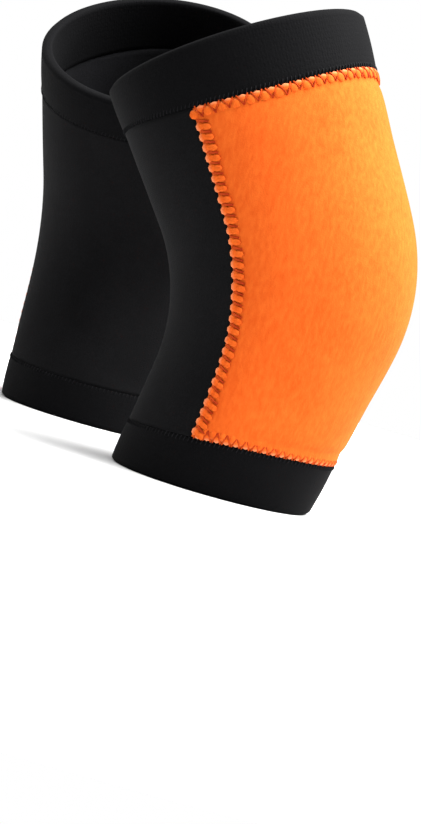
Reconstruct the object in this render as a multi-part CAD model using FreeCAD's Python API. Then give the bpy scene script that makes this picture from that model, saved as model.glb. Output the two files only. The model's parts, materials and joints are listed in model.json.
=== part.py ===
"""Pair of padded pull-on knee sleeves, standing on their calf rims.

Each sleeve is a bent fabric tube. A place on it is given by a fraction of the way from the calf rim (0)
to the thigh rim (1), an angle round the leg from the kneecap's line, and a depth inside the outer face.
Every layer is built from those three numbers, so the layers nest inside one another.
"""
import FreeCAD, Part
import math
import os

# Tube, in millimetres and degrees
CALF_RADIUS = 55.0          # outer radius of the calf rim
THIGH_RADIUS = 71.0         # outer radius of the thigh rim
KNEE_HALF_WIDTH = 66.0      # from side to side
KNEE_HALF_DEPTH = 65.0      # from front to back
CALF_LENGTH = 116.0         # calf rim centre to knee centre
THIGH_LENGTH = 134.0        # knee centre to thigh rim centre
CALF_LEAN = 11.0            # calf leans forward from upright
THIGH_LEAN = 33.0           # thigh leans backward from upright
FRONT_ROUNDING = 104.0      # bend radius over the kneecap
BACK_ROUNDING = 94.0        # bend radius behind the knee

# Where the pieces meet, as fractions of the way from the calf rim to the thigh rim
CALF_SEAM = 0.115
THIGH_SEAM = 0.881
KNEE_LINE = 0.5
SEAM_GAP = 0.001

# Layers, as thicknesses and clearances
FABRIC = 2.0                # back fabric and front panel
PAD_MIDDLE = 6.0            # foam over the kneecap
PAD_END_SHARE = 0.15        # share of that thickness left beside the cuffs
LINING = 1.2
LAYER_GAP = 0.2
PANEL_ANGLE = 104.0         # the front panel's edges, either side of the kneecap's line
PANEL_EDGE_GAP = 0.25       # degrees left between the panel and the back fabric
PAD_ANGLE = 60.0            # the foam's edges
PAD_FADE_ANGLE = 100.0      # where the lining lies flat again

# Cuffs: a folded casing round a woven elastic band
CUFF_BORE = {"calf": 50.0, "thigh": 65.0}    # radius of the round inner wall that grips the leg
BAND_DEPTH = 1.5            # outer wall of the casing
BAND_THICKNESS = 1.2
BAND_MARGIN = 0.02          # fraction of the tube kept clear at the rim and the seam
CAVITY_GAP = 0.15

# Stitching
THREAD_LIFT = 0.3           # underside of the threads above the fabric
THREAD_RISE = 0.7           # thickness of the threads
SIDE_STITCH_ANGLE = 2.2     # half the width of the side stitching, in degrees
EDGE_STITCH = (0.002, 0.019)    # from the seam onto the panel
SIDE_STITCH_START = 0.022
CUFF_STITCH = (0.002, 0.007)    # from the seam onto the cuff

# Layout: the pair's middle stands over the origin
RIGHT_AT = (-98.4, -61.1)
LEFT_FROM_RIGHT = (190.0, 126.0)
LEFT_TURN = 86.0            # the left sleeve faces nearly along +X, the right one along -Y

LOFT_STEPS = 7
CUFF_STEPS = 3
RING_POINTS = 32
SECTOR_POINTS = 15


def middle_plane(forward, up):
    """Point in the sleeve's middle plane. Forward is -Y."""
    return FreeCAD.Vector(0, -forward, up)


def leaning(angle):
    """Direction at an angle from upright, positive forward."""
    return middle_plane(math.sin(math.radians(angle)), math.cos(math.radians(angle)))


def across(angle):
    """Direction at an angle above forward."""
    return middle_plane(math.cos(math.radians(angle)), math.sin(math.radians(angle)))


def rounded_corner(start, corner, end, radius):
    """Line, tangent arc and line from start to end past a corner."""
    before = (corner - start).normalize()
    after = (end - corner).normalize()
    turn = before.getAngle(after)
    reach = radius * math.tan(turn / 2)
    arc_start = corner - before * reach
    arc_end = corner + after * reach
    inward = (after - before).normalize()
    arc_middle = corner + inward * radius * (1 / math.cos(turn / 2) - 1)
    arc = Part.Arc(arc_start, arc_middle, arc_end).toShape()
    return [Part.makeLine(start, arc_start), arc, Part.makeLine(arc_end, end)]


def point_along(edges, fraction):
    """Point at a fraction of the length of a chain of edges."""
    rest = fraction * sum(edge.Length for edge in edges)
    for edge in edges[:-1]:
        if rest <= edge.Length:
            return edge.valueAt(edge.getParameterByLength(rest))
        rest -= edge.Length
    return edges[-1].valueAt(edges[-1].getParameterByLength(rest))


CALF_RIM = middle_plane(0, 0)
KNEE = leaning(CALF_LEAN) * CALF_LENGTH
THIGH_RIM = KNEE + leaning(-THIGH_LEAN) * THIGH_LENGTH
RIM_TILT = across(THIGH_LEAN)
KNEE_TILT = across(THIGH_LEAN / 2)
FRONT_LINE = rounded_corner(
    middle_plane(CALF_RADIUS, 0),
    KNEE + KNEE_TILT * KNEE_HALF_DEPTH,
    THIGH_RIM + RIM_TILT * THIGH_RADIUS,
    FRONT_ROUNDING)
BACK_LINE = rounded_corner(
    middle_plane(-CALF_RADIUS, 0),
    KNEE - KNEE_TILT * KNEE_HALF_DEPTH,
    THIGH_RIM - RIM_TILT * THIGH_RADIUS,
    BACK_ROUNDING)


def section_middle(fraction):
    """Centre of the leg at a fraction of the tube."""
    return (point_along(FRONT_LINE, fraction) + point_along(BACK_LINE, fraction)) / 2


def half_width(fraction):
    """Half the tube's width: a smooth curve through the calf, knee and thigh widths."""
    calf = CALF_RADIUS * (1 - fraction) * (1 - 2 * fraction)
    knee = 4 * KNEE_HALF_WIDTH * fraction * (1 - fraction)
    thigh = THIGH_RADIUS * fraction * (2 * fraction - 1)
    return calf + knee + thigh


def sleeve_point(fraction, angle, depth):
    """Point at a fraction of the tube, an angle from the kneecap's line and a depth inside the outer face."""
    front = point_along(FRONT_LINE, fraction)
    back = point_along(BACK_LINE, fraction)
    forward = (front - back).normalize()
    half_depth = (front - back).Length / 2
    turn = math.radians(angle)
    lengthwise = forward * (half_depth - depth) * math.cos(turn)
    sideways = FreeCAD.Vector(1, 0, 0) * (half_width(fraction) - depth) * math.sin(turn)
    return section_middle(fraction) + lengthwise + sideways


def foam_thickness(fraction, angle):
    """Thickness of the foam: thickest over the kneecap, thinner to the sides and beside the cuffs."""
    turn = abs((angle + 180) % 360 - 180)
    if turn >= PAD_FADE_ANGLE:
        return 0.0
    sideways = math.cos(math.radians(90 * turn / PAD_FADE_ANGLE)) ** 2
    along = math.sin(math.pi * (fraction - CALF_SEAM) / (THIGH_SEAM - CALF_SEAM))
    lengthwise = PAD_END_SHARE + (1 - PAD_END_SHARE) * max(along, 0.0)
    return PAD_MIDDLE * sideways * lengthwise


def at_depth(depth):
    """Rule for a face at one depth everywhere."""
    return lambda fraction, angle: depth


def under_foam(extra):
    """Rule for a face that follows the inner face of the foam."""
    return lambda fraction, angle: FABRIC + LAYER_GAP + foam_thickness(fraction, angle) + extra


def steps(start, end, count):
    """Evenly spaced values from start to end."""
    return [start + (end - start) * i / (count - 1) for i in range(count)]


def ring_wire(fraction, rule):
    """Closed curve round the tube at the depth that the rule gives."""
    angles = steps(0, 360, RING_POINTS + 1)[:-1]
    points = [sleeve_point(fraction, angle, rule(fraction, angle)) for angle in angles]
    curve = Part.BSplineCurve()
    curve.interpolate(Points=points, PeriodicFlag=True)
    return Part.Wire(curve.toShape())


def sector_wire(fraction, angles, outer, inner):
    """Outline of a wall round part of the tube, from its first angle to its last."""
    turns = steps(angles[0], angles[1], SECTOR_POINTS)
    rims = []
    for rule in (outer, inner):
        curve = Part.BSplineCurve()
        curve.interpolate(Points=[sleeve_point(fraction, turn, rule(fraction, turn)) for turn in turns])
        rims.append(curve)
    first = Part.makeLine(rims[0].StartPoint, rims[1].StartPoint)
    last = Part.makeLine(rims[0].EndPoint, rims[1].EndPoint)
    return Part.Wire(Part.__sortEdges__([rims[0].toShape(), last, rims[1].toShape(), first]))


def solid_loft(wires):
    """Closed solid through a row of outlines."""
    return Part.makeLoft(wires, True, False)


def ring(start, end, outer, inner, count=LOFT_STEPS):
    """Wall all the way round the tube between two fractions."""
    fractions = steps(start, end, count)
    whole = solid_loft([ring_wire(fraction, outer) for fraction in fractions])
    hollow = solid_loft([ring_wire(fraction, inner) for fraction in fractions])
    return whole.cut(hollow)


def sector(start, end, angles, outer, inner, count=LOFT_STEPS):
    """Wall round part of the tube between two fractions."""
    return solid_loft([sector_wire(f, angles, outer, inner) for f in steps(start, end, count)])


def cuff_pieces(half, rim, seam):
    """Folded casing with a round inner wall, and the elastic band inside it."""
    inward = 1 if seam > rim else -1
    casing = solid_loft([ring_wire(f, at_depth(0)) for f in steps(rim, seam, CUFF_STEPS)])
    mouth = section_middle(rim)
    direction = (section_middle(seam) - mouth).normalize()
    overrun = THIGH_RADIUS
    bore = Part.makeCylinder(CUFF_BORE[half], 3 * overrun, mouth - direction * overrun, direction)
    band_start = rim + inward * BAND_MARGIN
    band_end = seam - inward * BAND_MARGIN
    band_inner = BAND_DEPTH + BAND_THICKNESS
    band = ring(band_start, band_end, at_depth(BAND_DEPTH), at_depth(band_inner), CUFF_STEPS)
    cavity_start = band_start - inward * SEAM_GAP
    cavity = ring(cavity_start, seam, at_depth(BAND_DEPTH - CAVITY_GAP), at_depth(band_inner + CAVITY_GAP),
                  CUFF_STEPS)
    return casing.cut(bore).cut(cavity), band


def half_nodes(half, rim, seam):
    """Every piece between one rim and the knee line."""
    inward = 1 if seam > rim else -1
    start = seam + inward * SEAM_GAP
    end = KNEE_LINE - inward * SEAM_GAP
    panel_angles = (-PANEL_ANGLE, PANEL_ANGLE)
    back_angles = (PANEL_ANGLE + PANEL_EDGE_GAP, 360 - PANEL_ANGLE - PANEL_EDGE_GAP)
    face = at_depth(0)
    fabric_back = at_depth(FABRIC)
    pad_front = at_depth(FABRIC + LAYER_GAP)
    thread_top = at_depth(-THREAD_LIFT - THREAD_RISE)
    thread_foot = at_depth(-THREAD_LIFT)
    cuff, elastic = cuff_pieces(half, rim, seam)
    sides = []
    for side in (-1, 1):
        edge = side * PANEL_ANGLE
        angles = (edge - SIDE_STITCH_ANGLE, edge + SIDE_STITCH_ANGLE)
        sides.append(sector(seam + inward * SIDE_STITCH_START, end, angles, thread_top, thread_foot))
    edge_rows = [seam + inward * distance for distance in EDGE_STITCH]
    cuff_rows = [seam - inward * distance for distance in CUFF_STITCH]
    return {
        half + "_cuff": cuff,
        half + "_elastic": elastic,
        half + "_cuff_seam": ring(*cuff_rows, thread_top, thread_foot, CUFF_STEPS),
        half + "_back_fabric": sector(start, end, back_angles, face, fabric_back),
        half + "_front_panel": sector(start, end, panel_angles, face, fabric_back),
        half + "_knee_pad": sector(start, end, (-PAD_ANGLE, PAD_ANGLE), pad_front, under_foam(0)),
        half + "_lining": ring(start, end, under_foam(LAYER_GAP), under_foam(LAYER_GAP + LINING)),
        half + "_side_stitching": Part.makeCompound(sides),
        half + "_edge_stitching": sector(*edge_rows, panel_angles, thread_top, thread_foot, CUFF_STEPS),
    }


def place(shape, side):
    """Stand a sleeve built round its own calf rim in its place in the pair."""
    x, y = RIGHT_AT
    turn = 0.0
    if side == "left":
        x += LEFT_FROM_RIGHT[0]
        y += LEFT_FROM_RIGHT[1]
        turn = LEFT_TURN
    upright = FreeCAD.Rotation(FreeCAD.Vector(0, 0, 1), turn)
    placed = shape.copy()
    placed.Placement = FreeCAD.Placement(FreeCAD.Vector(x, y, 0), upright)
    return placed


os.makedirs("parts", exist_ok=True)
sleeve = half_nodes("calf", 0.0, CALF_SEAM)
sleeve.update(half_nodes("thigh", 1.0, THIGH_SEAM))
box = FreeCAD.BoundBox()
for side in ("right", "left"):
    for name, shape in sleeve.items():
        node = place(shape, side)
        node.exportStep("parts/" + side + "_" + name + ".step")
        box.add(node.optimalBoundingBox())
        print(side + "_" + name, len(node.Solids), "solid", round(node.Volume / 1000, 1), "cm3", node.isValid())
    for label, point in (
            ("calf rim", CALF_RIM),
            ("calf seam", section_middle(CALF_SEAM)),
            ("knee axis", section_middle(KNEE_LINE)),
            ("thigh seam", section_middle(THIGH_SEAM)),
            ("thigh rim", THIGH_RIM)):
        print(side, label, [round(c, 2) for c in place(Part.Vertex(point), side).BoundBox.Center])
print("middle", round(box.Center.x, 2), round(box.Center.y, 2), "lowest", round(box.ZMin, 3))
print("size", round(box.XLength, 1), round(box.YLength, 1), round(box.ZLength, 1))
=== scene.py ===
# %% [markdown]
# # A pair of padded knee sleeves
# Two pull-on sleeves of black stretch knit stand on their calf rims. Over each kneecap a panel of orange brushed
# fleece, with foam behind it, is sewn in with zigzag thread. Every sheet of a sleeve follows one bent tube, so this
# lesson writes that tube down once, as a rule, and lays each piece on it at its own depth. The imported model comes
# first, because it fixes the size and the place of everything.

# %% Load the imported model
import json
import math

import bmesh
import bpy
import numpy as np
from mathutils import Matrix, Vector


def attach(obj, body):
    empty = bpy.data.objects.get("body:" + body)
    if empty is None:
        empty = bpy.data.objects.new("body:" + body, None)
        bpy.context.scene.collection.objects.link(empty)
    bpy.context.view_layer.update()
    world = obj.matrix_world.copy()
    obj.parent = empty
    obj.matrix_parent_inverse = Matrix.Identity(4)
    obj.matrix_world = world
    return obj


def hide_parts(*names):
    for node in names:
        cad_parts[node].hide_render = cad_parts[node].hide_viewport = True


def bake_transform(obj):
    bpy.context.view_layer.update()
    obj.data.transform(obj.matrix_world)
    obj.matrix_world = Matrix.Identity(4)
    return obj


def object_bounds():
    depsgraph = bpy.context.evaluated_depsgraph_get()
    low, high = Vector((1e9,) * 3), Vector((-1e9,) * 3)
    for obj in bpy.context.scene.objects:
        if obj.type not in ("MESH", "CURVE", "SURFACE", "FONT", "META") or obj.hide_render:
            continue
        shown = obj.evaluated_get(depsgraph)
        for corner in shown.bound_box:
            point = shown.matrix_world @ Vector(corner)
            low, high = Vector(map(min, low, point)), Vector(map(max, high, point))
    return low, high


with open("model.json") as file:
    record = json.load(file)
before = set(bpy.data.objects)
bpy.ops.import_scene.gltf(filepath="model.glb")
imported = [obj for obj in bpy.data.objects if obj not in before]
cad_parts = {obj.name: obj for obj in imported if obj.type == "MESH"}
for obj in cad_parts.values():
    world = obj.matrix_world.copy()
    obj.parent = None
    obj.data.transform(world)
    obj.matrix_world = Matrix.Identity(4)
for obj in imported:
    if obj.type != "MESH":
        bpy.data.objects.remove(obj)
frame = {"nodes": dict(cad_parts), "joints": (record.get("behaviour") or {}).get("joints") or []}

CAD_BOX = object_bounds()
print("cad box", [tuple(round(c, 4) for c in corner) for corner in CAD_BOX])

# %% [markdown]
# ## The tube that every piece follows
# Seen from the side, a bent leg's front and back are each a straight calf, a round bend and a straight thigh. A point
# of the sleeve is named by three numbers: the fraction of the way from the calf rim to the thigh rim, the angle round
# the leg from the kneecap's line, and the depth inside the outer face. A mesh could also be sculpted by eye, but then
# the lining, the foam and the panel wouldn't nest. Sizes are in metres, as the design gives them.

# %% Sizes of the tube
MM = 0.001
CALF_RADIUS = 55 * MM
THIGH_RADIUS = 71 * MM
KNEE_HALF_WIDTH = 66 * MM
KNEE_HALF_DEPTH = 65 * MM
CALF_LENGTH = 116 * MM
THIGH_LENGTH = 134 * MM
CALF_LEAN = math.radians(11)
THIGH_LEAN = math.radians(33)
FRONT_ROUNDING = 104 * MM
BACK_ROUNDING = 94 * MM
CALF_SEAM = 0.115
THIGH_SEAM = 0.881
KNEE_LINE = 0.5
PANEL_ANGLE = 104.0
GIRTH = 2 * math.pi * KNEE_HALF_WIDTH
TUBE_LENGTH = CALF_LENGTH + THIGH_LENGTH
CUFF_BORE = {"calf": 50 * MM, "thigh": 65 * MM}


# %% A line that turns round a bend
def unit(vector):
    return vector / np.linalg.norm(vector)


def leaning(angle):
    """Direction in the leg's middle plane, as (forward, up), at an angle forward of upright."""
    return np.array([math.sin(angle), math.cos(angle)])


def across(angle):
    """Direction in the middle plane at an angle above forward."""
    return np.array([math.cos(angle), math.sin(angle)])


def rounded_line(start, corner, end, radius):
    """Rule for a line, tangent arc and line: gives the points at fractions of its length."""
    before = unit(corner - start)
    after = unit(end - corner)
    turn = math.acos(before @ after)
    reach = radius * math.tan(turn / 2)
    arc_start = corner - before * reach
    arc_end = corner + after * reach
    inward = (after - before * math.cos(turn)) / math.sin(turn)
    first = np.linalg.norm(arc_start - start)
    second = first + radius * turn
    whole = second + np.linalg.norm(end - arc_end)

    def points(fraction):
        gone = np.asarray(fraction, float)[..., None] * whole
        angle = (gone - first) / radius
        arc = arc_start + radius * (before * np.sin(angle) + inward * (1 - np.cos(angle)))
        straight = arc_end + after * (gone - second)
        return np.where(gone < first, start + before * gone, np.where(gone < second, arc, straight))

    return points, whole


KNEE = leaning(CALF_LEAN) * CALF_LENGTH
THIGH_RIM = KNEE + leaning(-THIGH_LEAN) * THIGH_LENGTH
front_line, FRONT_LENGTH = rounded_line(
    np.array([CALF_RADIUS, 0.0]), KNEE + across(THIGH_LEAN / 2) * KNEE_HALF_DEPTH,
    THIGH_RIM + across(THIGH_LEAN) * THIGH_RADIUS, FRONT_ROUNDING)
back_line, BACK_LENGTH = rounded_line(
    np.array([-CALF_RADIUS, 0.0]), KNEE - across(THIGH_LEAN / 2) * KNEE_HALF_DEPTH,
    THIGH_RIM - across(THIGH_LEAN) * THIGH_RADIUS, BACK_ROUNDING)
print("front", round(FRONT_LENGTH, 4), "back", round(BACK_LENGTH, 4), "m long")


# %% [markdown]
# Sewing pulls the fabric about a little, and that is what keeps the panel from looking ruled. The thigh seam sags at
# the sides of the leg, both seams are pushed towards the rims in front, the panel's right border bows outward at the
# knee and inward at the calf, and its left border is drawn in. The tube itself keeps its shape: a point only slides
# along it, so every layer slides together.

# %% Fabric pulled by the sewing
SEAM_SAG = 4.4 * MM
BOW_AT_KNEE = 3.9 * MM
BOW_AT_THIGH = 2.4 * MM
DRAWN_IN_AT_CALF = 3.6 * MM
LEFT_DRAWN_IN = 1.6 * MM
FRONT_PUSH = 1.9 * MM
PULL_REACH_DEGREES = 35.0


def eased(start, end, value):
    """Goes smoothly from 0 at one value to 1 at another."""
    share = np.clip((value - start) / (end - start), 0, 1)
    return share * share * (3 - 2 * share)


def as_sewn(fraction, angle):
    """Where sewing leaves a point of the flat pattern, as a fraction and an angle."""
    turn = (angle + 180) % 360 - 180
    to_knee = eased(CALF_SEAM, KNEE_LINE, fraction)
    to_thigh = eased(KNEE_LINE, THIGH_SEAM, fraction)
    bow = (DRAWN_IN_AT_CALF + BOW_AT_KNEE) * to_knee - DRAWN_IN_AT_CALF + (BOW_AT_THIGH - BOW_AT_KNEE) * to_thigh
    # The pull fades away from each border, and from each seam.
    by_right = np.exp(-((turn + PANEL_ANGLE) / PULL_REACH_DEGREES) ** 2)
    by_left = np.exp(-((turn - PANEL_ANGLE) / PULL_REACH_DEGREES) ** 2)
    slid = (bow * by_right + LEFT_DRAWN_IN * by_left) / GIRTH * 360
    thigh_end = to_thigh * (1 - eased(THIGH_SEAM, 1, fraction))
    sag = SEAM_SAG / TUBE_LENGTH * np.sin(np.radians(turn)) ** 2 * thigh_end
    calf_end = (1 - to_knee) * eased(0, CALF_SEAM, fraction)
    push = FRONT_PUSH / TUBE_LENGTH * np.maximum(np.cos(np.radians(turn)), 0) ** 2 * (thigh_end - calf_end)
    return fraction - sag + push, angle - slid


# %% Points of the sleeve
def half_width(fraction):
    """Half the tube's width: a smooth curve through the calf, knee and thigh."""
    calf = CALF_RADIUS * (1 - fraction) * (1 - 2 * fraction)
    knee = 4 * KNEE_HALF_WIDTH * fraction * (1 - fraction)
    return calf + knee + THIGH_RADIUS * fraction * (2 * fraction - 1)


def middle(fraction):
    """Centre of the leg, as (forward, up)."""
    return (front_line(fraction) + back_line(fraction)) / 2


def sleeve_points(fraction, angle, depth):
    """Points of one sleeve round its own calf rim: x sideways, -y forward, z up."""
    fraction, angle, depth = np.broadcast_arrays(fraction, angle, depth)
    fraction, angle = as_sewn(fraction, angle)
    angle = np.radians(angle)
    span = front_line(fraction) - back_line(fraction)
    reach = np.linalg.norm(span, axis=-1)
    lengthwise = ((reach / 2 - depth) * np.cos(angle) / reach)[..., None] * span
    forward_up = middle(fraction) + lengthwise
    sideways = (half_width(fraction) - depth) * np.sin(angle)
    return np.stack([sideways, -forward_up[..., 0], forward_up[..., 1]], axis=-1)


# %% [markdown]
# ## Where each sleeve stands
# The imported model's two knee hinges say where the sleeves are: the hinge's place is the middle of the knee and its
# axis runs sideways. Each piece is made once round its own calf rim and copied into both places, so the pair is
# truly a pair. The place is put into the mesh, and the object itself stays at the origin.

# %% Places of the two sleeves
SIDES = ("right", "left")
HINGES = {side: next(j for j in frame["joints"] if j["name"] == side + "_knee_bend") for side in SIDES}


def own_point(forward_up):
    """A point of the middle plane as a vector in the sleeve's own space."""
    return Vector((0.0, -forward_up[0], forward_up[1]))


def standing(side):
    """Matrix that stands a sleeve in its place."""
    axis = HINGES[side]["axis"]
    turned = Matrix.Rotation(math.atan2(-axis[1], -axis[0]), 4, "Z")
    rim = Vector(HINGES[side]["pos_m"]) - turned @ own_point(middle(KNEE_LINE))
    return Matrix.Translation(rim) @ turned


PLACES = {side: standing(side) for side in SIDES}
print("calf rims at", {side: tuple(round(c, 4) for c in PLACES[side].translation) for side in SIDES})

# %% [markdown]
# ## Helpers for meshes
# A fabric wall is two grids of points, its outer and its inner face, joined along their borders so that it is
# closed. The map of the fabric (its UV map) is kept in metres, so a knit's wales keep their real width round the leg.

# %% A mesh from points and faces
def mesh_from(name, points, quads, coords):
    """Smooth closed mesh from points, faces and a fabric map, with its faces turned outward."""
    mesh = bpy.data.meshes.new(name)
    mesh.from_pydata(points.reshape(-1, 3).tolist(), [], quads)
    layer = mesh.uv_layers.new(name="fabric")
    layer.data.foreach_set("uv", np.asarray(coords, np.float32).ravel())
    form = bmesh.new()
    form.from_mesh(mesh)
    bmesh.ops.recalc_face_normals(form, faces=form.faces)
    volume = form.calc_volume(signed=True)
    form.to_mesh(mesh)
    form.free()
    mesh.shade_smooth()
    print(name, len(mesh.vertices), "points,", round(volume * 1e6, 1), "cm3")
    return mesh


# %% A closed wall
INNER_MAP_SHIFT = 0.002


def wall(name, fractions, angles, outer, inner):
    """Closed wall between two depths. Angles that go right round make a ring, others a part of one."""
    rows, columns = len(fractions), len(angles)
    ring = abs(angles[-1] - angles[0]) > 359
    turns = columns - 1 if ring else columns
    grid_f, grid_a = np.meshgrid(fractions, angles[:turns], indexing="ij")
    faces = [sleeve_points(grid_f, grid_a, depth(grid_f, grid_a)) for depth in (outer, inner)]
    quads, coords = [], []
    count = rows * turns

    def corner(layer, row, column):
        return layer * count + row * turns + column % turns

    def add(corners):
        quads.append([corner(*c) for c in corners])
        for layer, row, column in corners:
            coords.append((angles[column] / 360 * GIRTH, fractions[row] * TUBE_LENGTH + layer * INNER_MAP_SHIFT))

    for row in range(rows - 1):
        for column in range(columns - 1):
            square = [(row, column), (row, column + 1), (row + 1, column + 1), (row + 1, column)]
            add([(0, *c) for c in square])
            add([(1, *c) for c in reversed(square)])
    for column in range(columns - 1):
        for row in (0, rows - 1):
            add([(0, row, column + 1), (0, row, column), (1, row, column), (1, row, column + 1)])
    if not ring:
        for row in range(rows - 1):
            for column in (0, columns - 1):
                add([(0, row, column), (0, row + 1, column), (1, row + 1, column), (1, row, column)])
    return mesh_from(name, np.concatenate([f.reshape(-1, 3) for f in faces]), quads, coords)


def stand_pair(mesh, name, material, replaces, body=None):
    """A copy of a mesh in each sleeve. It rides one body, or is left unattached when it names none."""
    made = {}
    for side in SIDES:
        placed = mesh.copy()
        placed.transform(PLACES[side])
        placed.materials.clear()
        placed.materials.append(material)
        piece = bpy.data.objects.new(side + "_" + name, placed)
        bpy.context.scene.collection.objects.link(piece)
        if body:
            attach(piece, side + "_" + body)
        else:
            knee = own_point(middle(KNEE_LINE))
            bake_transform(piece)
        if replaces:
            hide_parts(*[side + "_" + node for node in replaces])
        made[side] = piece
    return made


# %% [markdown]
# ## Helpers for node trees
# Materials and Geometry Nodes are both trees of nodes, so one small function that adds a node, sets it up and links
# it serves for all of them.

# %% Adding a node
def add_node(tree, kind, inputs=None, **settings):
    """Adds a node, sets its properties, and fills or links its inputs."""
    node = tree.nodes.new(kind)
    for key, value in settings.items():
        setattr(node, key, value)
    for key, value in (inputs or {}).items():
        if isinstance(value, bpy.types.NodeSocket):
            tree.links.new(value, node.inputs[key])
        else:
            node.inputs[key].default_value = value
    return node


def linear(colour):
    """An sRGB hex colour as the linear values that nodes take."""
    values = [int(colour[i:i + 2], 16) / 255 for i in (1, 3, 5)]
    return tuple(v / 12.92 if v <= 0.04045 else ((v + 0.055) / 1.055) ** 2.4 for v in values) + (1.0,)


def new_material(name):
    """An empty material with a Principled shader, and its tree."""
    material = bpy.data.materials.new(name)
    material.use_nodes = True
    tree = material.node_tree
    shader = next(n for n in tree.nodes if n.type == "BSDF_PRINCIPLED")
    return material, tree, shader


# %% [markdown]
# ## Black stretch knit
# The tube is a polyester and elastane jersey: fine loops in upright columns called wales, dyed black, with no shine.
# Loose fibre ends catch light at the edges of the leg, which is what the sheen gives. Real wales here are well under
# a millimetre wide; they are drawn 1.6 mm apart so that they show at all.

# %% Knit material
def knit_material(name, colour, highlight, wale_mm, course_mm, relief_mm, sheen, rough):
    """Knitted fabric: stretched rounded cells for the loops, and a cloudy change of shade where it stretches."""
    material, tree, shader = new_material(name)
    fabric = add_node(tree, "ShaderNodeUVMap", uv_map="fabric").outputs["UV"]
    place = add_node(tree, "ShaderNodeTexCoord").outputs["Object"]
    stretch = add_node(tree, "ShaderNodeMapping", {"Vector": fabric, "Scale": (1.0, wale_mm / course_mm, 1.0)})
    loops = add_node(
        tree, "ShaderNodeTexVoronoi",
        {"Vector": stretch.outputs["Vector"], "Scale": 1000 / wale_mm, "Randomness": 0.35},
        feature="SMOOTH_F1", voronoi_dimensions="2D")
    clouds = add_node(tree, "ShaderNodeTexNoise", {"Vector": place, "Scale": 1000 / 45, "Detail": 3.0})
    fibres = add_node(tree, "ShaderNodeTexNoise", {"Vector": place, "Scale": 1000 / 0.9, "Detail": 2.0})
    shade = add_node(tree, "ShaderNodeMix", {"A": linear(colour), "B": linear(highlight)}, data_type="RGBA")
    mixed = add_node(
        tree, "ShaderNodeMath", {0: clouds.outputs["Fac"], 1: fibres.outputs["Fac"]}, operation="MULTIPLY")
    spread = add_node(tree, "ShaderNodeMapRange", {"Value": mixed.outputs[0], "From Min": 0.14, "From Max": 0.36})
    tree.links.new(spread.outputs[0], shade.inputs["Factor"])
    height = add_node(
        tree, "ShaderNodeMath", {0: loops.outputs["Distance"], 1: fibres.outputs["Fac"]}, operation="SUBTRACT")
    bump = add_node(
        tree, "ShaderNodeBump", {"Height": height.outputs[0], "Strength": 0.55, "Distance": relief_mm * MM})
    tree.links.new(shade.outputs["Result"], shader.inputs["Base Color"])
    tree.links.new(bump.outputs["Normal"], shader.inputs["Normal"])
    shader.inputs["Roughness"].default_value = rough
    shader.inputs["Specular IOR Level"].default_value = 0.05
    shader.inputs["Sheen Weight"].default_value = sheen
    shader.inputs["Sheen Roughness"].default_value = 0.25
    shader.inputs["Sheen Tint"].default_value = linear("#9A9AA2")
    return material


black_knit = knit_material("polyester_jersey_knitted", "#09090A", "#0F0F10", 1.6, 1.2, 0.25, 0.01, 0.9)
# Rib knit is denser and ridged along the leg, so it swallows a little more light than the jersey.
rib_knit = knit_material("elastic_rib_knitted", "#050506", "#080809", 1.6, 2.6, 0.35, 0.004, 0.9)
# The lining's face is brushed soft, so its loose fibres make it a paler, duller black.
lining_knit = knit_material("brushed_jersey_lining", "#121213", "#1B1B1D", 1.2, 1.0, 0.2, 0.03, 0.95)
print("knits:", [knit.name for knit in (black_knit, rib_knit, lining_knit)])

# %% [markdown]
# ## Orange brushed fleece
# The panel is a polyester fleece: its face has been brushed with wire until the loops stand up as a short, dense nap.
# The nap has no gloss, shades the colour in small soft blotches where it lies different ways, and glows a little at
# its edges. Noise drawn out along the leg, the way the nap is brushed, gives the blotches, and sheen gives the glow.
# Real nap fibres are some hundredths of a millimetre thick; the finest noise is 0.8 mm, so that it shows.

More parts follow.
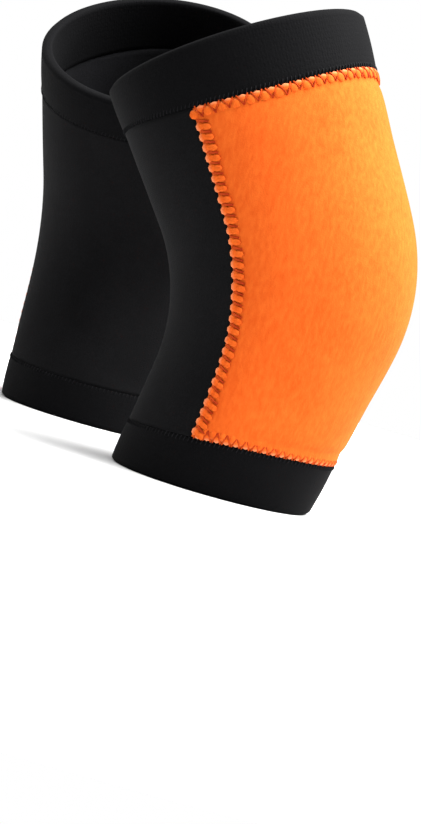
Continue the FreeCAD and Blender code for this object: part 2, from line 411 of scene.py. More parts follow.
# %% Fleece material
def fleece_material(name, low, high, painted_tip_highlight=None):
    """Brushed nap in two close shades, paler where a point attribute says so: a painted highlight."""
    material, tree, shader = new_material(name)
    place = add_node(tree, "ShaderNodeTexCoord").outputs["Object"]
    brushed = add_node(tree, "ShaderNodeMapping", {"Vector": place, "Scale": (1.0, 1.0, 0.45)}).outputs[0]
    nap = add_node(tree, "ShaderNodeTexNoise", {"Vector": brushed, "Scale": 1000 / 2.2, "Detail": 3.0})
    drift = add_node(tree, "ShaderNodeTexNoise", {"Vector": place, "Scale": 1000 / 30, "Detail": 1.0})
    fibres = add_node(tree, "ShaderNodeTexNoise", {"Vector": place, "Scale": 1000 / 0.8, "Detail": 2.0})
    both = add_node(
        tree, "ShaderNodeMath", {0: drift.outputs["Fac"], 1: 0.4, 2: nap.outputs["Fac"]}, operation="MULTIPLY_ADD")
    blotch = add_node(tree, "ShaderNodeMapRange", {"Value": both.outputs[0], "From Min": 0.45, "From Max": 0.95})
    colour = add_node(
        tree, "ShaderNodeMix", {"Factor": blotch.outputs[0], "A": linear(low), "B": linear(high)}, data_type="RGBA")
    # The paler colour is a painted highlight on the puckers' tips, where the cut edge of the fleece catches the light.
    if painted_tip_highlight:
        edge = add_node(tree, "ShaderNodeAttribute", attribute_name="painted_tip_highlight").outputs["Fac"]
        colour = add_node(
            tree, "ShaderNodeMix", {"Factor": edge, "A": colour.outputs["Result"], "B": linear(painted_tip_highlight)},
            data_type="RGBA")
    tree.links.new(colour.outputs["Result"], shader.inputs["Base Color"])
    height = add_node(tree, "ShaderNodeMath", {0: nap.outputs["Fac"], 1: fibres.outputs["Fac"]}, operation="ADD")
    bump = add_node(tree, "ShaderNodeBump", {"Height": height.outputs[0], "Strength": 0.4, "Distance": 0.4 * MM})
    tree.links.new(bump.outputs["Normal"], shader.inputs["Normal"])
    shader.inputs["Roughness"].default_value = 0.95
    shader.inputs["Specular IOR Level"].default_value = 0.05
    shader.inputs["Sheen Weight"].default_value = 0.12
    shader.inputs["Sheen Roughness"].default_value = 0.5
    shader.inputs["Sheen Tint"].default_value = linear("#FFC060")
    return material


# %% [markdown]
# ## Threads, foam and webbing
# Each is one colour with a fine grain. Spun polyester thread is matt, with its twist about 0.5 mm long. The orange
# thread gets painted shade where it dives into the needle hole and the fleece closes over it; the stitches carry a
# number for how near the hole each point is. Cut polyurethane foam is dull and pitted with open cells near 0.8 mm,
# and woven elastic webbing shows its rubber cores as ridges 1 mm apart. Both stay inside, so a grain of that size is
# enough for them.

# %% Small parts' material
def plain_fabric(name, colour, grain_mm, rough, hole=None):
    """One colour with a fine grain, with painted shade towards the needle hole if it has one."""
    material, tree, shader = new_material(name)
    place = add_node(tree, "ShaderNodeTexCoord").outputs["Object"]
    grain = add_node(tree, "ShaderNodeTexNoise", {"Vector": place, "Scale": 1000 / grain_mm, "Detail": 2.0})
    dark = tuple(0.7 * v for v in linear(colour)[:3]) + (1.0,)
    shade = add_node(
        tree, "ShaderNodeMix", {"Factor": grain.outputs["Fac"], "A": dark, "B": linear(colour)}, data_type="RGBA")
    # The hole colour is painted shade, where the needle hole and the fleece closing over it would shadow the thread.
    if hole:
        painted_hole_shade = add_node(tree, "ShaderNodeAttribute", attribute_name="painted_hole_shade").outputs["Fac"]
        shade = add_node(
            tree, "ShaderNodeMix", {"Factor": painted_hole_shade, "A": shade.outputs["Result"], "B": linear(hole)},
            data_type="RGBA")
    bump = add_node(tree, "ShaderNodeBump", {"Height": grain.outputs["Fac"], "Strength": 0.4, "Distance": 0.15 * MM})
    tree.links.new(shade.outputs["Result"], shader.inputs["Base Color"])
    tree.links.new(bump.outputs["Normal"], shader.inputs["Normal"])
    shader.inputs["Roughness"].default_value = rough
    shader.inputs["Specular IOR Level"].default_value = 0.1
    return material


FLEECE_SHADES = ("#BA4813", "#C6581C")
fleece = fleece_material("polyester_fleece_brushed", *FLEECE_SHADES)
# The puckers' material: its pale orange is a painted highlight on their tips.
fleece_painted_highlight = fleece_material("polyester_fleece_painted_highlight", *FLEECE_SHADES, painted_tip_highlight="#DC8C64")
# The orange thread's second colour is painted shade at the needle holes.
orange_thread = plain_fabric("polyester_thread_orange", "#B6420F", 0.5, 0.8, "#8A2404")
black_thread = plain_fabric("polyester_thread_black", "#101012", 0.5, 0.8)
foam = plain_fabric("polyurethane_foam_cut", "#4A4A4C", 0.8, 1.0)
webbing = plain_fabric("elastic_webbing_woven", "#2B2B2D", 1.0, 0.8)
print("other fabrics:", [part.name for part in (fleece, fleece_painted_highlight, orange_thread, black_thread, foam, webbing)])

# %% [markdown]
# ## Back fabric and lining
# The tube behind and beside the panel is one sheet of jersey. It lies smooth, because it is stretched round the leg,
# so a plain wall on the tube's rule is the right tool, and a simulation would only loosen it. The lining is the same
# kind of wall, deeper in, and it follows the foam's swell.

# %% Depth rules
BACK_FACE = 0.2 * MM
FABRIC_THICKNESS = 2 * MM
FOAM_FACE = 2.2 * MM
FOAM_THICKNESS = 6 * MM
FOAM_HALF_ANGLE = 60
FOAM_FADE_ANGLE = 100
FOAM_AT_CUFFS = 0.15
LINING_GAP = 0.2 * MM
LINING_INNER = 1.4 * MM


def depth_of(value):
    """Rule for a face at one depth."""
    return lambda fraction, angle: np.full_like(fraction, value)


def foam_thickness(fraction, angle):
    """Thickest over the kneecap, thinner to the sides and beside the cuffs."""
    turn = np.abs((angle + 180) % 360 - 180)
    sideways = np.where(turn < FOAM_FADE_ANGLE, np.cos(np.radians(90 / FOAM_FADE_ANGLE * turn)) ** 2, 0.0)
    along = np.sin(np.pi * (fraction - CALF_SEAM) / (THIGH_SEAM - CALF_SEAM))
    return FOAM_THICKNESS * sideways * (FOAM_AT_CUFFS + (1 - FOAM_AT_CUFFS) * np.clip(along, 0, None))


def under_foam(extra):
    """Rule for a face that follows the foam's inner face."""
    return lambda fraction, angle: FOAM_FACE + foam_thickness(fraction, angle) + extra


# %% Make the back fabric and the lining
def rows_between_seams(inset, count):
    """Even steps along the tube, starting and ending a small fraction inside the seams."""
    return np.linspace(CALF_SEAM + inset, THIGH_SEAM - inset, count)


# The back fabric reaches a little way under the panel's borders.
TUCKED_DEGREES = 0.6
back_angles = np.linspace(PANEL_ANGLE - TUCKED_DEGREES, 360 - PANEL_ANGLE + TUCKED_DEGREES, 70)
back_mesh = wall(
    "back_fabric", rows_between_seams(0, 90), back_angles, depth_of(BACK_FACE), depth_of(FABRIC_THICKNESS))
stand_pair(back_mesh, "back_fabric", black_knit, ["calf_back_fabric", "thigh_back_fabric"])

lining_mesh = wall(
    "lining", rows_between_seams(0.001, 60), np.linspace(0, 360, 97), under_foam(LINING_GAP), under_foam(LINING_INNER))
stand_pair(lining_mesh, "lining", lining_knit, ["calf_lining", "thigh_lining"])

# %% [markdown]
# ## Foam cushion
# Behind the panel lies a cushion of cut foam, thickest over the kneecap and thin at its border, so that the knee is
# kept off the ground and the edge can't be felt. The fleece covers it. It is a closed wall like the others, with one
# flat face against the panel and one swelling face against the lining.

# %% Make the foam
foam_mesh = wall(
    "knee_pad", rows_between_seams(0.003, 50), np.linspace(-FOAM_HALF_ANGLE, FOAM_HALF_ANGLE, 41),
    depth_of(FOAM_FACE), under_foam(0))
knee_pad = stand_pair(foam_mesh, "knee_pad", foam, ["calf_knee_pad", "thigh_knee_pad"])

# %% [markdown]
# ## The padded front panel
# The fleece is sewn down along its border and pushed out by the foam. That is what cloth simulation does well: the
# panel starts as a slightly sunken closed wall, its border and its inner face are pinned, and pressure swells the
# rest for twenty steps. How far a point may move is capped, so the fleece never leaves its place. One level of
# subdivision rounds the result.

# %% Start shape of the panel
SEWN_WIDTH = 7 * MM
SUNK = 1.8 * MM
SWELL_CAP = 3.5 * MM
EDGE_ROLL = 0.8 * MM
THREAD_PULL = 0.6 * MM
THREAD_PLACE = 5.8 * MM
THREAD_PULL_REACH = 1.8 * MM
SINKS_OVER = 25 * MM


def distance_from_edge(fraction, angle):
    """How far a point of the panel is from the nearest border, along the fabric."""
    sideways = (PANEL_ANGLE - np.abs(angle)) / 360 * GIRTH
    lengthwise = np.minimum(fraction - CALF_SEAM, THIGH_SEAM - fraction) * TUBE_LENGTH
    return np.minimum(sideways, lengthwise)


def panel_face(fraction, angle):
    """Rolled edge, then the line where the thread pulls the fleece down, then the sunken start of the pad."""
    inside = distance_from_edge(fraction, angle)
    rolled = EDGE_ROLL * np.exp(-inside / EDGE_ROLL)
    pulled = THREAD_PULL * np.exp(-((inside - THREAD_PLACE) / THREAD_PULL_REACH) ** 2)
    sunk = SUNK * np.clip((inside - SEWN_WIDTH) / SINKS_OVER, 0, 1)
    return rolled + pulled + sunk


def border_steps(half, count, fine):
    """Steps from one border to the other, closer together near both borders."""
    even = np.linspace(-1, 1, count)
    return half * (even + fine * np.sin(np.pi * even) / np.pi)


GRID = 81
CROWDING = 0.7
panel_angles = border_steps(PANEL_ANGLE, GRID, CROWDING)
panel_rows = (CALF_SEAM + THIGH_SEAM) / 2 + border_steps((THIGH_SEAM - CALF_SEAM) / 2, GRID, CROWDING)
panel_mesh = wall("front_panel", panel_rows, panel_angles, panel_face, depth_of(FABRIC_THICKNESS))


# %% The cloth simulation
PRESSURE = 1500.0
STRETCH_STIFFNESS = 6.0
BENDING_STIFFNESS = 0.5
CLOTH_MASS = 0.3
CLOTH_STEPS = 20


def points_of(mesh):
    """A mesh's points as rows of x, y, z."""
    flat = np.empty(3 * len(mesh.vertices))
    mesh.vertices.foreach_get("co", flat)
    return flat.reshape(-1, 3)


def swell(mesh, rows, columns):
    """Runs the cloth simulation on a closed wall and returns its swollen points."""
    body = bpy.data.objects.new("panel_cloth", mesh)
    bpy.context.scene.collection.objects.link(body)
    grid_f, grid_a = np.meshgrid(rows, columns, indexing="ij")
    loose = (distance_from_edge(grid_f, grid_a) > SEWN_WIDTH).ravel()
    pins = body.vertex_groups.new(name="sewn_down")
    count = len(loose)
    pins.add([i for i in range(2 * count) if i >= count or not loose[i]], 1.0, "REPLACE")
    cloth = body.modifiers.new("swell", "CLOTH")
    cloth.settings.vertex_group_mass = "sewn_down"
    cloth.settings.use_pressure = True
    cloth.settings.uniform_pressure_force = PRESSURE
    cloth.settings.tension_stiffness = STRETCH_STIFFNESS
    cloth.settings.compression_stiffness = STRETCH_STIFFNESS
    cloth.settings.shear_stiffness = STRETCH_STIFFNESS / 2
    cloth.settings.bending_stiffness = BENDING_STIFFNESS
    cloth.settings.mass = CLOTH_MASS
    cloth.settings.effector_weights.gravity = 0
    cloth.point_cache.frame_start = 1
    cloth.point_cache.frame_end = CLOTH_STEPS
    for step in range(1, CLOTH_STEPS + 1):
        bpy.context.scene.frame_set(step)
    swollen = points_of(body.evaluated_get(bpy.context.evaluated_depsgraph_get()).data)
    bpy.context.scene.frame_set(1)
    bpy.data.objects.remove(body)
    return swollen


# %% Swell the panel
start = points_of(panel_mesh)
moved = swell(panel_mesh, panel_rows, panel_angles) - start
far = np.linalg.norm(moved, axis=1, keepdims=True)
print("panel swelled by up to", round(float(far.max()) / MM, 1), "mm")
moved *= np.minimum(1, SWELL_CAP / np.maximum(far, 1e-9))
panel_mesh.vertices.foreach_set("co", (start + moved).ravel())
panel_mesh.update()


# %% Smooth the panel
def subdivided(mesh):
    """The mesh after one level of subdivision surface."""
    carrier = bpy.data.objects.new(mesh.name + "_carrier", mesh)
    bpy.context.scene.collection.objects.link(carrier)
    smooth = carrier.modifiers.new("smooth", "SUBSURF")
    smooth.levels = smooth.render_levels = 1
    made = bpy.data.meshes.new_from_object(carrier.evaluated_get(bpy.context.evaluated_depsgraph_get()))
    bpy.data.objects.remove(carrier)
    return made


panel_mesh = subdivided(panel_mesh)
print("front panel", len(panel_mesh.polygons), "faces")

front_panel = stand_pair(
    panel_mesh, "front_panel", fleece, ["calf_front_panel", "thigh_front_panel"])

# %% [markdown]
# ## Ribbed cuffs
# Each cuff is a band of rib knit folded double over an elastic, so its rim is a round fold and its wall is thick.
# A closed loop round the wall's section, turned round the leg, gives one mesh with no border at all. The inner wall
# is truly round, because it is what grips the leg.

# %% The cuff's inner wall
def bore_points(fraction, angle, half, seam, rim):
    """Points of the round inner wall at a fraction of the tube."""
    fraction, angle = as_sewn(np.full_like(angle, fraction), angle)
    turn = np.radians(angle)
    axis = unit(middle(seam) - middle(rim))
    span = front_line(fraction) - back_line(fraction)
    span /= np.linalg.norm(span, axis=-1, keepdims=True)
    centre = middle(fraction)
    slant = np.cos(turn) * (span @ axis)
    radius = CUFF_BORE[half] / np.sqrt(1 - slant ** 2)
    forward_up = centre + (radius * np.cos(turn))[..., None] * span
    return np.stack([radius * np.sin(turn), -forward_up[..., 0], forward_up[..., 1]], axis=-1)


# %% Fold a cuff
CUFF_SWELL = 0.5 * MM
SEAM_GROOVE = 0.5 * MM
SEAM_GROOVE_SHARE = 0.05
FOLD_SHARE = 0.07
FOLD_RADIUS = 1.6 * MM


def cuff_mesh(half, rim, seam):
    """Folded band: down the outside to the rim, round the fold and up the inside."""
    angles = np.linspace(0, 360, 129)[:-1]
    outside = np.linspace(seam, rim, 18)
    fold = (seam - rim) * FOLD_SHARE
    loops = []
    for fraction in outside[:-1]:
        share = abs(fraction - rim) / abs(seam - rim)
        groove = SEAM_GROOVE * math.exp(-((1 - share) / SEAM_GROOVE_SHARE) ** 2)
        proud = CUFF_SWELL * math.sin(math.pi * share) - groove
        close = max(0.0, 1 - share / FOLD_SHARE)
        tuck = FOLD_RADIUS * (1 - math.sqrt(max(0.0, 1 - close ** 2)))
        loops.append(sleeve_points(np.full_like(angles, fraction), angles, np.full_like(angles, tuck - proud)))
    rim_outer = sleeve_points(np.full_like(angles, rim), angles, np.full_like(angles, FOLD_RADIUS))
    rim_inner = bore_points(rim, angles, half, seam, rim)
    for share in (0.0, 0.35, 0.7):
        loops.append(rim_outer * (1 - share) + rim_inner * share)
    for fraction in np.linspace(rim + fold * 0.25, seam, 14):
        loops.append(bore_points(fraction, angles, half, seam, rim))
    points = np.array(loops)
    rows, columns = points.shape[:2]
    gaps = np.linalg.norm(np.diff(points, axis=0, append=points[:1]).mean(axis=1), axis=1)
    along = np.concatenate([[0], np.cumsum(gaps)])
    quads, coords = [], []
    for row in range(rows):
        for column in range(columns):
            below, beside = (row + 1) % rows, (column + 1) % columns
            quads.append([row * columns + column, row * columns + beside,
                          below * columns + beside, below * columns + column])
            for r, c in ((row, column), (row, column + 1), (row + 1, column + 1), (row + 1, column)):
                coords.append((c / columns * GIRTH, along[r]))
    return mesh_from(half + "_cuff", points, quads, coords)


# %% Make the cuffs
for half, rim, seam in (("calf", 0.0, CALF_SEAM), ("thigh", 1.0, THIGH_SEAM)):
    stand_pair(cuff_mesh(half, rim, seam), half + "_cuff", rib_knit, [half + "_cuff"], half)

# %% [markdown]
# ## Zigzag stitching
# Orange thread holds the panel down: slanting stitches of two close threads down both sides, and open Vs along the
# calf and thigh edges. The stitch is repeated all the way, so it is drawn once and laid along the border by Geometry
# Nodes. The border is a line of points that carry the fabric's outward direction. The tree spaces stitches along it,
# stands two thread legs on each, and turns them to the line and the fabric. Their size varies a little, as on a
# machine that a hand guides. A second tree lays the small puckers of fleece that swell up between the threads and
# scallop the edge.

# %% The panel's border lines
LINE_LIFT = 0.1 * MM


def border_line(name, fractions, angles):
    """A line on the panel's border, with the outward direction at each point."""
    points = sleeve_points(fractions, angles, -LINE_LIFT)
    centres = np.stack([np.zeros_like(fractions), -middle(fractions)[..., 0], middle(fractions)[..., 1]], axis=-1)
    outward = points - centres
    outward /= np.linalg.norm(outward, axis=1, keepdims=True)
    mesh = bpy.data.meshes.new(name)
    mesh.from_pydata(points.tolist(), [(i, i + 1) for i in range(len(points) - 1)], [])
    layer = mesh.attributes.new("outward", "FLOAT_VECTOR", "POINT")
    layer.data.foreach_set("vector", outward.astype(np.float32).ravel())
    return mesh


# The lines stop short of the panel's corners: the sides by a fraction of the tube, the edges by some degrees.
STEPS = 160
SIDE_INSET = 0.03
EDGE_INSET = 4.5
up = rows_between_seams(SIDE_INSET, STEPS)
round_front = np.linspace(-PANEL_ANGLE + EDGE_INSET, PANEL_ANGLE - EDGE_INSET, STEPS)
borders = {
    "left_side": border_line("left_side", up, np.full(STEPS, PANEL_ANGLE)),
    "right_side": border_line("right_side", up[::-1], np.full(STEPS, -PANEL_ANGLE)),
    "calf_edge": border_line("calf_edge", np.full(STEPS, CALF_SEAM), round_front),
    "thigh_edge": border_line("thigh_edge", np.full(STEPS, THIGH_SEAM), round_front[::-1]),
}


# %% Parts that the stitch trees share
STITCH_SIZE_FROM, STITCH_SIZE_TO = 0.88, 1.1
STITCH_SEED = 0


def named_inputs(tree, *names):
    """Gives a tree its geometry input, its named sizes and its geometry output."""
    tree.interface.new_socket("Geometry", in_out="INPUT", socket_type="NodeSocketGeometry")
    for name in names:
        tree.interface.new_socket(name, in_out="INPUT", socket_type="NodeSocketFloat")
    tree.interface.new_socket("Material", in_out="INPUT", socket_type="NodeSocketMaterial")
    tree.interface.new_socket("Geometry", in_out="OUTPUT", socket_type="NodeSocketGeometry")
    return tree.nodes.new("NodeGroupInput").outputs


def scaled(tree, value, factor):
    """A size times a number."""
    return add_node(tree, "ShaderNodeMath", {0: value, 1: factor}, operation="MULTIPLY").outputs[0]


def vector(tree, x, y, z):
    """A vector from three sizes."""
    return add_node(tree, "ShaderNodeCombineXYZ", {0: x, 1: y, 2: z}).outputs[0]


def along_line(tree, sizes, instance):
    """Stands an instance on evenly spaced points of the line, turned to the line and the fabric."""
    curve = add_node(tree, "GeometryNodeMeshToCurve", {"Mesh": sizes["Geometry"]})
    spaced = add_node(
        tree, "GeometryNodeResampleCurve", {"Curve": curve.outputs[0], "Length": sizes["Pitch"]}, mode="LENGTH")
    outward = add_node(
        tree, "GeometryNodeInputNamedAttribute", {"Name": "outward"}, data_type="FLOAT_VECTOR").outputs["Attribute"]
    tangent = add_node(tree, "GeometryNodeInputTangent").outputs[0]
    turn = add_node(
        tree, "FunctionNodeAxesToRotation", {"Primary Axis": outward, "Secondary Axis": tangent},
        primary_axis="Z", secondary_axis="X")
    # Inputs 2 and 3 are the smallest and the largest number drawn.
    uneven = add_node(
        tree, "FunctionNodeRandomValue", {2: STITCH_SIZE_FROM, 3: STITCH_SIZE_TO, "Seed": STITCH_SEED},
        data_type="FLOAT")
    stood = add_node(
        tree, "GeometryNodeInstanceOnPoints",
        {"Points": spaced.outputs[0], "Instance": instance, "Rotation": turn.outputs[0], "Scale": uneven.outputs[1]})
    real = add_node(tree, "GeometryNodeRealizeInstances", {"Geometry": stood.outputs[0]})
    smooth = add_node(tree, "GeometryNodeSetShadeSmooth", {"Geometry": real.outputs[0]})
    coloured = add_node(
        tree, "GeometryNodeSetMaterial", {"Geometry": smooth.outputs[0], "Material": sizes["Material"]})
    add_node(tree, "NodeGroupOutput", {"Geometry": coloured.outputs[0]})


def marked(tree, geometry, name, value):
    """Stores a number on every point of a geometry."""
    return add_node(
        tree, "GeometryNodeStoreNamedAttribute", {"Geometry": geometry, "Name": name, "Value": value},
        data_type="FLOAT", domain="POINT").outputs[0]


def share_of_bite(tree, sizes, start, end):
    """How far a point is across the stitch: 0 at one share of the bite, 1 at another."""
    place = add_node(tree, "GeometryNodeInputPosition").outputs[0]
    inward = add_node(tree, "ShaderNodeSeparateXYZ", {0: place}).outputs["Y"]
    share = add_node(tree, "ShaderNodeMath", {0: inward, 1: sizes["Bite"]}, operation="DIVIDE").outputs[0]
    return add_node(
        tree, "ShaderNodeMapRange", {"Value": share, "From Min": start, "From Max": end}).outputs[0]


# %% Thread tree
def thread_tree():
    """Two thread legs from the edge of the panel to one needle hole inside it: a V, or a bar if they are close."""
    tree = bpy.data.node_groups.new("zigzag_thread", "GeometryNodeTree")
    sizes = named_inputs(tree, "Pitch", "Bite", "Slant", "Spread", "Start", "Thread Radius")
    radius = sizes["Thread Radius"]
    hole = vector(tree, sizes["Slant"], sizes["Bite"], scaled(tree, radius, -1.0))
    legs = add_node(tree, "GeometryNodeJoinGeometry")
    for way in (-1, 1):
        outer = vector(tree, scaled(tree, sizes["Spread"], way), sizes["Start"], scaled(tree, radius, -1.2))
        bend = add_node(
            tree, "ShaderNodeMath", {0: sizes["Spread"], 1: way * 0.5, 2: scaled(tree, sizes["Slant"], 0.4)},
            operation="MULTIPLY_ADD").outputs[0]
        crest = vector(tree, bend, scaled(tree, sizes["Bite"], 0.4), scaled(tree, radius, 2.2))
        leg = add_node(
            tree, "GeometryNodeCurveQuadraticBezier", {"Resolution": 5, "Start": outer, "Middle": crest, "End": hole})
        tree.links.new(leg.outputs[0], legs.inputs[0])
    profile = add_node(tree, "GeometryNodeCurvePrimitiveCircle", {"Resolution": 6, "Radius": radius})
    tube = add_node(
        tree, "GeometryNodeCurveToMesh",
        {"Curve": legs.outputs[0], "Profile Curve": profile.outputs[0], "Fill Caps": True})
    # Each point gets a number that grows towards the needle hole, and the thread material turns it into painted shade.
    along_line(tree, sizes, marked(tree, tube.outputs[0], "painted_hole_shade", share_of_bite(tree, sizes, 0.2, 0.95)))
    return tree


# %% Pucker tree
def pucker_tree():
    """Small swells of fleece: a short one at the edge with a painted highlight on its tip, and a long one between two
    stitches.
    """
    tree = bpy.data.node_groups.new("fleece_puckers", "GeometryNodeTree")
    sizes = named_inputs(tree, "Pitch", "Bite", "Slant", "Tip Place", "Tip Width", "Swell")
    lean = add_node(tree, "ShaderNodeMath", {0: sizes["Slant"], 1: sizes["Bite"]}, operation="ARCTAN2").outputs[0]
    turn = vector(tree, 0.0, 0.0, scaled(tree, lean, -1.0))
    ball = add_node(tree, "GeometryNodeMeshUVSphere", {"Radius": 1.0, "Segments": 8, "Rings": 6}).outputs[0]
    both = add_node(tree, "GeometryNodeJoinGeometry")
    between = scaled(tree, sizes["Pitch"], 0.5)
    # Place and width along the line; reach and inset as shares of the bite; height as a share of the swell.
    rounds = (
        (sizes["Tip Place"], sizes["Tip Width"], 0.36, 0.28, 1.0),
        (between, scaled(tree, sizes["Pitch"], 0.35), 0.48, 0.64, 0.8))
    for place, width, reach, inset, height in rounds:
        swell = scaled(tree, sizes["Swell"], height)
        size = vector(tree, width, scaled(tree, sizes["Bite"], reach), swell)
        slid = add_node(
            tree, "ShaderNodeMath", {0: place, 1: scaled(tree, sizes["Slant"], inset)},
            operation="ADD").outputs[0]
        where = vector(tree, slid, scaled(tree, sizes["Bite"], inset), scaled(tree, swell, -0.35))
        bulge = add_node(
            tree, "GeometryNodeTransform",
            {"Geometry": ball, "Translation": where, "Rotation": turn, "Scale": size})
        tree.links.new(bulge.outputs[0], both.inputs[0])
    # Each point gets a number that grows towards the outer edge, and the fleece material turns it into a painted
    # highlight.
    along_line(tree, sizes, marked(tree, both.outputs[0], "painted_tip_highlight", share_of_bite(tree, sizes, 0.3, -0.2)))
    return tree


# %% Run a tree
def run_tree(tree, mesh, values):
    """Runs a tree on a mesh and returns the plain mesh that it makes."""
    carrier = bpy.data.objects.new(mesh.name + "_carrier", mesh)
    bpy.context.scene.collection.objects.link(carrier)
    modifier = carrier.modifiers.new("stitch", "NODES")
    modifier.node_group = tree
    for item in tree.interface.items_tree:
        if item.in_out == "INPUT" and item.name in values:
            modifier[item.identifier] = values[item.name]
    made = bpy.data.meshes.new_from_object(carrier.evaluated_get(bpy.context.evaluated_depsgraph_get()))
    bpy.data.objects.remove(carrier)
    return made


# %% Sew the panel in
SIDE_STITCH = {"Pitch": 5.4 * MM, "Bite": 6.8 * MM, "Spread": 0.4 * MM, "Start": 1.3 * MM,
               "Tip Place": 2.7 * MM, "Tip Width": 2.5 * MM}
STITCHES = {
    "left_side": {**SIDE_STITCH, "Slant": -2.3 * MM},
    "right_side": {**SIDE_STITCH, "Slant": 2.3 * MM},
    "calf_edge": {"Pitch": 5.0 * MM, "Bite": 4.8 * MM, "Slant": 0.0, "Spread": 2.0 * MM, "Start": -0.4 * MM,
                  "Tip Place": 0.0, "Tip Width": 1.8 * MM},
    "thigh_edge": {"Pitch": 7.5 * MM, "Bite": 5.2 * MM, "Slant": 0.0, "Spread": 3.0 * MM, "Start": -0.4 * MM,
                   "Tip Place": 0.0, "Tip Width": 2.6 * MM},
}
THREAD_RADIUS = 0.45 * MM
SWELL = 1.1 * MM
thread_rule = thread_tree()
pucker_rule = pucker_tree()
threads, puckers = {}, []
for name, line in borders.items():
    stitch = STITCHES[name]
    threads[name] = run_tree(thread_rule, line, {**stitch, "Thread Radius": THREAD_RADIUS, "Material": orange_thread})
    puckers.append(run_tree(pucker_rule, line, {**stitch, "Swell": SWELL, "Material": fleece_painted_highlight}))


def joined(name, meshes):
    """Several meshes as one."""
    form = bmesh.new()
    for mesh in meshes:
        form.from_mesh(mesh)
    whole = bpy.data.meshes.new(name)
    form.to_mesh(whole)
    form.free()
    print(name, len(whole.polygons), "faces")
    return whole


stand_pair(joined("side_stitching", [threads["left_side"], threads["right_side"]]), "side_stitching",
           orange_thread, ["calf_side_stitching", "thigh_side_stitching"])
for half in ("calf", "thigh"):
    stand_pair(joined(half + "_edge_stitching", [threads[half + "_edge"]]), half + "_edge_stitching",
               orange_thread, [half + "_edge_stitching"], half)
stand_pair(joined("panel_puckers", puckers), "panel_puckers", fleece_painted_highlight, [])

# %% [markdown]
# ## Cuff seams
# Where a cuff meets the tube the two fabrics are overlocked with black thread. It is a row of small slanting bars on
# a dark groove, and the same kind of tree lays it right round the leg.

# %% Seam tree
SEAM_STITCH = {"Pitch": 2.4 * MM, "Bite": 2.4 * MM, "Slant": 0.9 * MM, "Thread Radius": 0.25 * MM}
SEAM_OFFSET = 0.006


def seam_tree():
    """Short slanting thread bars."""
    tree = bpy.data.node_groups.new("cuff_seam", "GeometryNodeTree")
    sizes = named_inputs(tree, "Pitch", "Bite", "Slant", "Thread Radius")
    half_bite = scaled(tree, sizes["Bite"], 0.5)
    foot = vector(tree, 0.0, scaled(tree, half_bite, -1.0), scaled(tree, sizes["Thread Radius"], -0.8))
    top = vector(tree, sizes["Slant"], half_bite, scaled(tree, sizes["Thread Radius"], -0.8))
    crest = vector(tree, scaled(tree, sizes["Slant"], 0.5), 0.0, scaled(tree, sizes["Thread Radius"], 2.4))
    bar = add_node(
        tree, "GeometryNodeCurveQuadraticBezier", {"Resolution": 4, "Start": foot, "Middle": crest, "End": top})
    profile = add_node(tree, "GeometryNodeCurvePrimitiveCircle", {"Resolution": 5, "Radius": sizes["Thread Radius"]})
    tube = add_node(
        tree, "GeometryNodeCurveToMesh",
        {"Curve": bar.outputs[0], "Profile Curve": profile.outputs[0], "Fill Caps": True})
    along_line(tree, sizes, tube.outputs[0])
    return tree


# %% Lay the cuff seams
seam_rule = seam_tree()
whole_turn = np.linspace(0, 360, 2 * STEPS)
for half, seam, inward in (("calf", CALF_SEAM, 1), ("thigh", THIGH_SEAM, -1)):
    line = border_line(half + "_seam_line", np.full(2 * STEPS, seam - inward * SEAM_OFFSET), whole_turn)
    bars = run_tree(seam_rule, line, {**SEAM_STITCH, "Material": black_thread})
    stand_pair(joined(half + "_cuff_seam", [bars]), half + "_cuff_seam", black_thread,
               [half + "_cuff_seam"], half)

# %% [markdown]
# ## The elastic bands
# The bands lie inside the cuffs' fold and can't be seen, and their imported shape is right, so they only get their
# own finish.

# %% Finish of the hidden bands
for name, node in frame["nodes"].items():
    if name.endswith("_elastic"):
        node.data.materials.clear()
        node.data.materials.append(webbing)
        print(name, "gets", webbing.name)

# %% [markdown]
# ## Floor, light and camera
# A round pale floor and a white surround make a plain studio. The surround looks white, but it lights the sleeves at
# less than half of that, so black fabric stays black. A large soft light stands high in front of the right kneecap,
# so the orange brightens towards the front of the knee. Two weaker ones, overhead and behind, fill the black fabric.

# %% Floor
FLOOR_RADIUS = 0.9
floor_mesh = bpy.data.meshes.new("floor")
round_floor = np.radians(np.arange(0, 360, 5))
floor_rim = [(FLOOR_RADIUS * math.cos(t), FLOOR_RADIUS * math.sin(t), 0.0) for t in round_floor]
floor_mesh.from_pydata(floor_rim, [], [tuple(range(len(floor_rim)))])
floor = bpy.data.objects.new("floor", floor_mesh)
bpy.context.scene.collection.objects.link(floor)
floor_material, floor_tree, floor_shader = new_material("painted_floor_matt")
floor_shader.inputs["Base Color"].default_value = linear("#CECECE")
floor_shader.inputs["Roughness"].default_value = 1.0
floor_shader.inputs["Specular IOR Level"].default_value = 0.0
floor_mesh.materials.append(floor_material)
print("floor", 2 * FLOOR_RADIUS, "m across")

# %% Light
world = bpy.data.worlds.new("studio")
bpy.context.scene.world = world
world.use_nodes = True
background = next(n for n in world.node_tree.nodes if n.type == "BACKGROUND")
background.inputs["Color"].default_value = linear("#FFFFFF")
ROOM_GLOW = 0.45
to_camera = add_node(world.node_tree, "ShaderNodeLightPath").outputs["Is Camera Ray"]
glow = add_node(
    world.node_tree, "ShaderNodeMath", {0: to_camera, 1: 1 - ROOM_GLOW, 2: ROOM_GLOW}, operation="MULTIPLY_ADD")
world.node_tree.links.new(glow.outputs[0], background.inputs["Strength"])
bpy.context.scene.view_settings.view_transform = "Standard"
CENTRE = (CAD_BOX[0] + CAD_BOX[1]) / 2


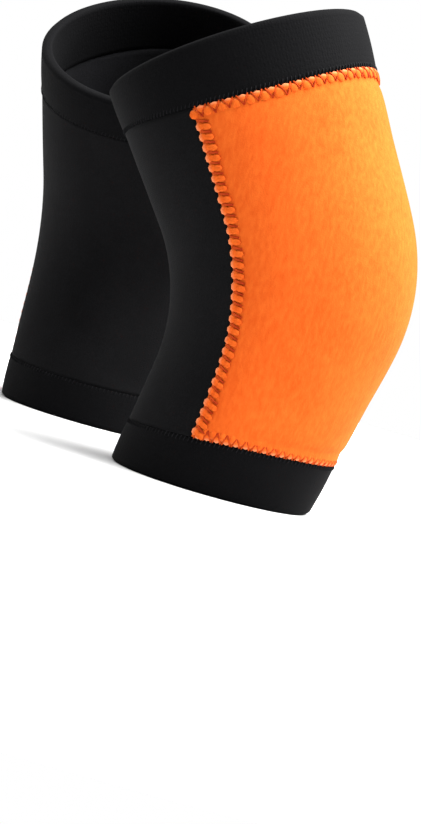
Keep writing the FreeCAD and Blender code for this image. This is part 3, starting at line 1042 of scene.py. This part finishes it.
def soft_light(name, azimuth, elevation, distance, size, power):
    """A square area light that looks at the sleeves from a compass direction."""
    lamp = bpy.data.lights.new(name, "AREA")
    lamp.size = size
    lamp.energy = power
    holder = bpy.data.objects.new(name, lamp)
    turn, rise = math.radians(azimuth), math.radians(elevation)
    away = Vector((math.sin(turn) * math.cos(rise), -math.cos(turn) * math.cos(rise), math.sin(rise)))
    holder.location = CENTRE + away * distance
    holder.rotation_euler = away.to_track_quat("Z", "Y").to_euler()
    bpy.context.scene.collection.objects.link(holder)
    print(name, "light at", tuple(round(c, 2) for c in holder.location))


soft_light("key", 8, 60, 1.5, 1.6, 138)
soft_light("top", -60, 78, 1.5, 1.4, 30)
soft_light("rim", 165, 20, 1.5, 0.5, 9)

# %% Camera
CAMERA_TURN = math.radians(-77.7)
CAMERA_RISE = math.radians(3.8)
CAMERA_ROLL = math.radians(15.9)
CAMERA_DISTANCE = 1.4
FRAME_HEIGHT = 0.44
AIM_HEIGHT = 0.125
AIM_SHIFT = (-0.0336, -0.0801)

back = Vector((math.sin(CAMERA_TURN) * math.cos(CAMERA_RISE),
               -math.cos(CAMERA_TURN) * math.cos(CAMERA_RISE), math.sin(CAMERA_RISE)))
level = Vector((math.cos(CAMERA_TURN), math.sin(CAMERA_TURN), 0))
above = back.cross(level)
across_view = level * math.cos(CAMERA_ROLL) + above * math.sin(CAMERA_ROLL)
up_view = above * math.cos(CAMERA_ROLL) - level * math.sin(CAMERA_ROLL)
aim = PLACES["right"].translation + Vector((0, 0, AIM_HEIGHT)) + across_view * AIM_SHIFT[0] + up_view * AIM_SHIFT[1]
camera_data = bpy.data.cameras.new("camera")
camera_data.lens = camera_data.sensor_width * CAMERA_DISTANCE / FRAME_HEIGHT
camera = bpy.data.objects.new("camera", camera_data)
camera.matrix_world = Matrix.Translation(aim + back * CAMERA_DISTANCE) @ Matrix(
    (across_view, up_view, back)).transposed().to_4x4()
bpy.context.scene.collection.objects.link(camera)
bpy.context.scene.camera = camera
print("camera at", tuple(round(c, 3) for c in camera.matrix_world.translation), "lens", round(camera_data.lens), "mm")
